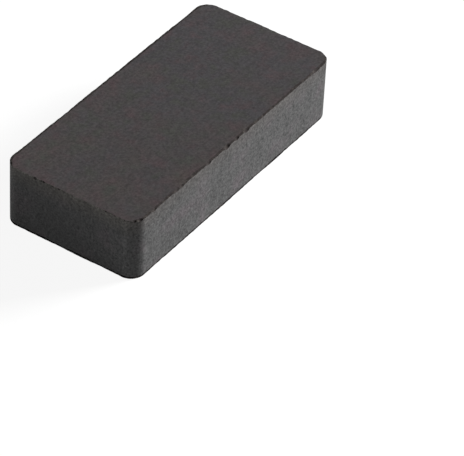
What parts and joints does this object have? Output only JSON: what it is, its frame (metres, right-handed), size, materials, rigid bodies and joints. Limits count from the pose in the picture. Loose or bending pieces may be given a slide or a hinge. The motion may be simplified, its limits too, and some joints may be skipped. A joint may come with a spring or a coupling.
{
  "type": "block magnet",
  "caption": "Rectangular sintered ferrite block magnet with rounded upright corners and flat ground pole faces, for holding against steel.",
  "frame": {"origin": "centre of the lower pole face, which is the centre of the footprint on the surface the block rests on", "axes": "+X along the block's length, +Y along its width, +Z through its thickness and out of the upper pole face, which is also the direction of magnetisation"},
  "size_m": [0.0476, 0.0222, 0.01],
  "materials": {
    "ferrite": "matte"
  },
  "bodies": {
    "root": {"magnet_block": "ferrite"}
  },
  "joints": []
}
